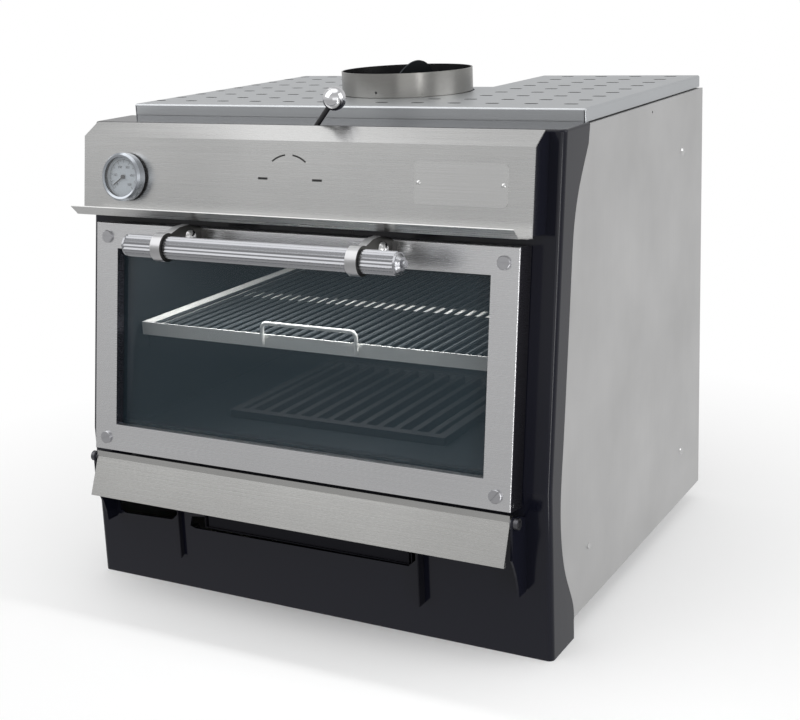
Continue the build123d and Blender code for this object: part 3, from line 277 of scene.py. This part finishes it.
looks = {
    door_steel: ["door_frame"],
    flap_steel: ["air_flap"],
    panel_steel: ["control_panel"],
    side_steel: ["side_panel_left", "side_panel_right", "rear_panel"],
    top_steel: ["perforated_cover"],
    lid_shade_black: ["body_top_plate"],
    pin_steel: ["flap_pins"],
    bright_steel: ["door_pins", "door_hinge_lugs", "door_screws", "handle_bolts", "side_bolts", "rear_screws",
                   "oil_nipple", "plate_rivets", "damper_shaft", "gauge_stem", "gauge_nut"],
    bar_steel: ["handle_bar", "handle_cap_left", "handle_cap_right"],
    bracket_steel: ["handle_bracket_left", "handle_bracket_right"],
    bezel_steel: ["gauge_bezel"],
    chrome: ["lever_ball"],
    liner: ["firebox_liner", "rack_rails", "flue_duct", "damper_disc"],
    zinc: ["base_pan", "cover_stands"],
    black_gloss: ["front_surround", "panel_end_left", "panel_end_right", "flap_ear_left", "flap_ear_right"],
    black_matt: ["door_inner_frame", "gauge_case", "damper_lever", "flue_rivet", "gauge_needle"],
    soot: ["ash_drawer", "flap_rest_lugs", "ash_chamber"],
    oven_glass: ["door_glass"],
    lens_glass: ["gauge_lens"],
    dial_white: ["gauge_dial"],
    rope: ["door_seal"],
    wool: ["insulation"],
    rubber: ["feet"],
    brass: ["damper_bushes"],
    grate_iron: ["fire_grate"],
    rack_steel: ["rack_frame", "rack_grip"],
    rod_steel: ["rack_rods"],
    plate_metal: ["blank_plate"],
    flue_steel: ["flue_collar"],
}
for mat, names in looks.items():
    for name in names:
        data = nodes[name].data
        data.materials.clear()
        data.materials.append(mat)

# Soft folds: a small rounded edge on the sheet pieces, by its width in millimetres
folds = {
    0.3: ["blank_plate"],
    0.4: ["air_flap", "side_panel_left", "side_panel_right"],
    0.5: ["front_surround", "flap_ear_left", "flap_ear_right"],
    0.6: ["door_frame", "control_panel"],
    0.7: ["handle_bracket_left", "handle_bracket_right"],
}
for width, names in folds.items():
    for name in names:
        edge = nodes[name].modifiers.new("edge", "BEVEL")
        edge.width = width / 1000
        edge.segments = 2
        edge.limit_method = "ANGLE"
        edge.angle_limit = math.radians(40)
        edge.harden_normals = False


def mesh_piece(name, verts, faces, mat, body):
    mesh = bpy.data.meshes.new(name)
    mesh.from_pydata([tuple(v) for v in verts], [], faces)
    mesh.update()
    piece = bpy.data.objects.new(name, mesh)
    scene.collection.objects.link(piece)
    mesh.materials.append(mat)
    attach(piece, body)
    return piece


# Thermometer scale and plain numbers
GAUGE_X = -271.0
GAUGE_S = 378.8
DIAL_OUT = PANEL_OUT + 9.2
INK_OUT = DIAL_OUT + 0.12
SCALE_R = 24.0
NUMBER_R = 15.0
SCALE_START = 225.0      # degrees, and the scale runs clockwise from there
SCALE_SWEEP = 270.0
STROKES = 50
RIM_STEPS = 90
LAST_NUMBER = 500
NUMBER_STEP = 100
verts = []
faces = []


def stroke(angle, r0, half):
    # a flat stroke of the scale, from a radius out to the scale's rim
    dx = math.cos(angle)
    ds = math.sin(angle)
    first = len(verts)
    for r, side in ((r0, -1), (SCALE_R, -1), (SCALE_R, 1), (r0, 1)):
        verts.append(on_face(GAUGE_X + dx * r - ds * half * side, GAUGE_S + ds * r + dx * half * side, INK_OUT))
    faces.append((first, first + 1, first + 2, first + 3))


def arc(x, s, out, radius, wide, start, end, steps):
    # a flat band on the leaning face, clockwise from one angle to another, in degrees
    for k in range(steps):
        a0 = math.radians(start + (end - start) * k / steps)
        a1 = math.radians(start + (end - start) * (k + 1) / steps)
        first = len(verts)
        for a, r in ((a0, radius), (a1, radius), (a1, radius + wide), (a0, radius + wide)):
            verts.append(on_face(x + r * math.cos(a), s + r * math.sin(a), out))
        faces.append((first + 3, first + 2, first + 1, first))


def scale_angle(share):
    return math.radians(SCALE_START - SCALE_SWEEP * share)


for i in range(STROKES + 1):
    if i % 5 == 0:
        stroke(scale_angle(i / STROKES), 19.5, 0.35)
    else:
        stroke(scale_angle(i / STROKES), 21.5, 0.18)
arc(GAUGE_X, GAUGE_S, INK_OUT, SCALE_R, 0.5, SCALE_START, SCALE_START - SCALE_SWEEP, RIM_STEPS)
mesh_piece("dial_scale", verts, faces, ink, "oven")
for value in range(0, LAST_NUMBER + 1, NUMBER_STEP):
    a = scale_angle(value / LAST_NUMBER)
    text = bpy.data.curves.new("dial_number_%d" % value, "FONT")
    text.body = str(value)
    text.size = 0.0048
    text.align_x = "CENTER"
    text.align_y = "CENTER"
    text.extrude = 0.00005
    number = bpy.data.objects.new(text.name, text)
    scene.collection.objects.link(number)
    text.materials.append(ink)
    number.location = on_face(GAUGE_X + NUMBER_R * math.cos(a), GAUGE_S + NUMBER_R * math.sin(a), DIAL_OUT + 0.2)
    number.rotation_euler = (math.radians(90) - LEAN, 0, 0)
    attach(number, "oven")

# Damper marks on the panel: a dashed arc with a plain tick at either end
verts = []
faces = []
MARK_OUT = PANEL_OUT + 0.1
TICK_HALF_X = 7.5
TICK_HALF_S = 1.5
for start, end in ((128.3, 98.0), (82.0, 51.7)):
    arc(-1.5, 374.2, MARK_OUT, 41.2, 2.2, start, end, 10)
for x in (-42.0, 43.0):
    first = len(verts)
    for dx, ds in ((-1, -1), (1, -1), (1, 1), (-1, 1)):
        verts.append(on_face(x + dx * TICK_HALF_X, 384.2 + ds * TICK_HALF_S, MARK_OUT))
    faces.append((first, first + 1, first + 2, first + 3))
mesh_piece("damper_marks", verts, faces, ink, "oven")

# Slotted heads of the four door screws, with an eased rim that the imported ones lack
HEAD_R = 9.0
HEAD_TALL = 3.6
SLOT_HALF = 0.9
SLOT_DEEP = 1.6
EASE = 0.9
SCREW_X = 311.5
SCREW_LOW = -1.6
SCREW_HIGH = 292.3


def steps_between(start, end, count):
    return [start + (end - start) * k / count for k in range(count + 1)]


def slotted_head(x, s, turn):
    # one closed shell: wall, eased rim, two half tops and the slot between them
    lip = math.asin(SLOT_HALF / (HEAD_R - EASE))
    angles = []
    top_rings = []
    for half in (0, 1):
        start = lip + math.pi * half
        end = math.pi - lip + math.pi * half
        half_top = steps_between(start, end, 22)
        top_rings.append(range(len(angles), len(angles) + len(half_top)))
        angles += half_top
        angles += steps_between(end, start + math.pi, 4)[1:-1]
    count = len(angles)

    def layer(radius, height):
        base = len(verts)
        for a in angles:
            verts.append(on_face(x + radius * math.cos(a + turn), s + radius * math.sin(a + turn), DOOR_OUT + height))
        return base

    foot = layer(HEAD_R, 0.0)
    slot_floor = layer(HEAD_R, HEAD_TALL - SLOT_DEEP)
    rim = layer(HEAD_R, HEAD_TALL - EASE)
    top = layer(HEAD_R - EASE, HEAD_TALL)
    faces.append(tuple(foot + k for k in reversed(range(count))))
    for k in range(count):
        n = (k + 1) % count
        faces.append((foot + k, foot + n, slot_floor + n, slot_floor + k))
    faces.append(tuple(slot_floor + k for k in range(count)))
    for ring in top_rings:
        for k, n in zip(ring[:-1], ring[1:]):
            faces.append((slot_floor + k, slot_floor + n, rim + n, rim + k))
            faces.append((rim + k, rim + n, top + n, top + k))
        a, b = ring[0], ring[-1]
        faces.append((slot_floor + b, slot_floor + a, rim + a, top + a, top + b, rim + b))
        faces.append(tuple(top + k for k in ring))


verts = []
faces = []
slotted_head(-SCREW_X, SCREW_LOW, 0.35)
slotted_head(SCREW_X, SCREW_LOW, 0.9)
slotted_head(-SCREW_X, SCREW_HIGH, 0.05)
slotted_head(SCREW_X, SCREW_HIGH, 0.0)
screws = mesh_piece("door_screw_heads", verts, faces, screw_shade_steel, "door")
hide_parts("door_screws")

# Domed bolts through the brackets, with a nut on the far side
verts = []
faces = []
BOLT_S = 301.0
BOLT_OUT = 68.0
BRACKET_X = 150.0
CHEEK_NEAR = 6.05        # from the bracket's middle to the dome's foot
NUT_FAR = 11.05          # from the bracket's middle to the nut's far end


def turned_x(x, profile, sides):
    # a turned piece about an X axis of the door's face, from (distance along X, radius) points
    rings = []
    for along, radius in profile:
        rings.append(len(verts))
        for k in range(sides):
            a = 2 * math.pi * k / sides
            verts.append(on_face(x + along, BOLT_S + radius * math.cos(a), BOLT_OUT + radius * math.sin(a)))
    for low, high in zip(rings[:-1], rings[1:]):
        for k in range(sides):
            n = (k + 1) % sides
            faces.append((low + k, high + k, high + n, low + n))
    faces.append(tuple(rings[0] + k for k in range(sides)))
    faces.append(tuple(rings[-1] + k for k in reversed(range(sides))))


DOME = [(0, 11.0), (1.2, 11.0), (2.6, 10.6), (4.4, 9.5), (6.0, 7.8), (7.2, 5.6), (7.9, 3.0), (8.1, 0.6)]
NUT = [(0, 6.2), (0.8, 7.0), (5.0, 7.0)]
for x in (-BRACKET_X, BRACKET_X):
    turned_x(x + CHEEK_NEAR, DOME, 32)
    turned_x(x - NUT_FAR, NUT, 6)
bolts = mesh_piece("bracket_bolts", verts, faces, bright_steel, "door")
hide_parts("handle_bolts")

# Camera solved from the photo, whose frame and centre are in pixels
FRAME_WIDE = 800
FRAME_TALL = 720
FOCAL = 1423.45
CENTRE_X = 376.91
CENTRE_Y = 312.76
SENSOR = 36.0
yaw = math.radians(29.65)
pitch = math.radians(-13.65)
roll = math.radians(-2.52)
forward = Vector((-math.sin(yaw) * math.cos(pitch), math.cos(yaw) * math.cos(pitch), math.sin(pitch)))
level = Vector((math.cos(yaw), math.sin(yaw), 0))
above = level.cross(forward)
right = level * math.cos(roll) + above * math.sin(roll)
up = above * math.cos(roll) - level * math.sin(roll)
camera_data = bpy.data.cameras.new("camera")
camera = bpy.data.objects.new("camera", camera_data)
scene.collection.objects.link(camera)
turn = Matrix((right, up, -forward)).transposed().to_4x4()
camera.matrix_world = Matrix.Translation(at(1021.7, -1564.2, 884.1)) @ turn
camera_data.sensor_width = SENSOR
camera_data.lens = FOCAL / FRAME_WIDE * SENSOR
camera_data.shift_x = (FRAME_WIDE / 2 - CENTRE_X) / FRAME_WIDE
camera_data.shift_y = -(FRAME_TALL / 2 - CENTRE_Y) / FRAME_WIDE
camera_data.clip_end = 60
scene.camera = camera

# Floor and soft studio light
FLOOR_HALF = 12
floor_mesh = bpy.data.meshes.new("floor")
corners = [(FLOOR_HALF * x, FLOOR_HALF * y, 0) for x, y in ((-1, -1), (1, -1), (1, 1), (-1, 1))]
floor_mesh.from_pydata(corners, [], [(0, 1, 2, 3)])
floor = bpy.data.objects.new("floor", floor_mesh)
floor.location = (0, 0, -0.0006)
scene.collection.objects.link(floor)
floor_mat = bpy.data.materials.new("floor")
floor_mat.use_nodes = True
tree = floor_mat.node_tree
tree.nodes.clear()
out = tree.nodes.new("ShaderNodeOutputMaterial")
paper = tree.nodes.new("ShaderNodeBsdfDiffuse")
paper.inputs["Color"].default_value = grey(0.93)
glow = tree.nodes.new("ShaderNodeEmission")
glow.inputs["Color"].default_value = grey(1.0)
glow.inputs["Strength"].default_value = 1.0
# the paper keeps the oven's shadow, and fades to plain white away from it
source = tree.nodes.new("ShaderNodeTexCoord")
distance = vector_calc(tree, "LENGTH", source.outputs["Object"])
seen = tree.nodes.new("ShaderNodeMixShader")
tree.links.new(span(tree, distance.outputs["Value"], 0.0, 1.0, 0.25, 1.1), seen.inputs["Fac"])
tree.links.new(paper.outputs["BSDF"], seen.inputs[1])
tree.links.new(glow.outputs["Emission"], seen.inputs[2])
# what reflections see: brighter behind the oven than in front of it
depth = split(tree, source.outputs["Object"])["Y"]
mirror = tree.nodes.new("ShaderNodeEmission")
tree.links.new(span(tree, depth, 0.44, 0.67, -1.2, 0.5), mirror.inputs["Strength"])
path = tree.nodes.new("ShaderNodeLightPath")
pick = tree.nodes.new("ShaderNodeMixShader")
tree.links.new(path.outputs["Is Camera Ray"], pick.inputs["Fac"])
tree.links.new(mirror.outputs["Emission"], pick.inputs[1])
tree.links.new(seen.outputs["Shader"], pick.inputs[2])
tree.links.new(pick.outputs["Shader"], out.inputs["Surface"])
floor_mesh.materials.append(floor_mat)

world = bpy.data.worlds.new("studio")
scene.world = world
world.use_nodes = True
tree = world.node_tree
tree.nodes.clear()
out = tree.nodes.new("ShaderNodeOutputWorld")
# what lights the oven: a pale room with a brighter ceiling, by the height of the ray
source = tree.nodes.new("ShaderNodeTexCoord")
height = span(tree, split(tree, source.outputs["Generated"])["Z"], 0.0, 1.0)
levels = [(0.0, 0.31), (0.10, 0.33), (0.25, 0.36), (0.42, 0.34), (0.6, 0.30), (0.84, 0.30), (0.94, 0.74), (1.0, 0.78)]
sky = ramp(tree, height, [(position, grey(level)) for position, level in levels])
room = tree.nodes.new("ShaderNodeBackground")
tree.links.new(sky, room.inputs["Color"])
room.inputs["Strength"].default_value = 1.8
white = tree.nodes.new("ShaderNodeBackground")
white.inputs["Color"].default_value = grey(1.0)
path = tree.nodes.new("ShaderNodeLightPath")
pick = tree.nodes.new("ShaderNodeMixShader")
tree.links.new(path.outputs["Is Camera Ray"], pick.inputs["Fac"])
tree.links.new(room.outputs["Background"], pick.inputs[1])
tree.links.new(white.outputs["Background"], pick.inputs[2])
tree.links.new(pick.outputs["Shader"], out.inputs["Surface"])


def softbox(name, place, target, size, power):
    # an area lamp aimed at a point, all in metres
    light = bpy.data.lights.new(name, "AREA")
    light.shape = "RECTANGLE"
    light.size = size[0]
    light.size_y = size[1]
    light.energy = power
    lamp = bpy.data.objects.new(name, light)
    scene.collection.objects.link(lamp)
    lamp.location = place
    aim = Vector(target) - Vector(place)
    lamp.rotation_euler = aim.to_track_quat("-Z", "Y").to_euler()
    return lamp


inside = softbox("inside", (0, -0.19, 0.52), (0, -0.14, 0.36), (0.45, 0.03), 3.5)
inside.visible_camera = False
lamps = [
    inside,
    softbox("key", (-1.8, -1.6, 2.6), (0, 0, 0.4), (3.0, 3.0), 30),
    softbox("right", (2.8, 0.4, 1.9), (0, 0, 0.4), (2.0, 2.4), 20),
    softbox("bevel", (-0.8, 0.3, 2.3), (0, -0.26, 0.66), (0.3, 2.0), 1.5),
    softbox("fill", (1.7, -2.3, 0.8), (0, -0.2, 0.3), (2.6, 1.2), 5),
    softbox("edge", (0.76, -0.60, 0.28), (0.37, -0.28, 0.34), (0.07, 0.9), 1.1),
]

scene.view_settings.view_transform = "Standard"
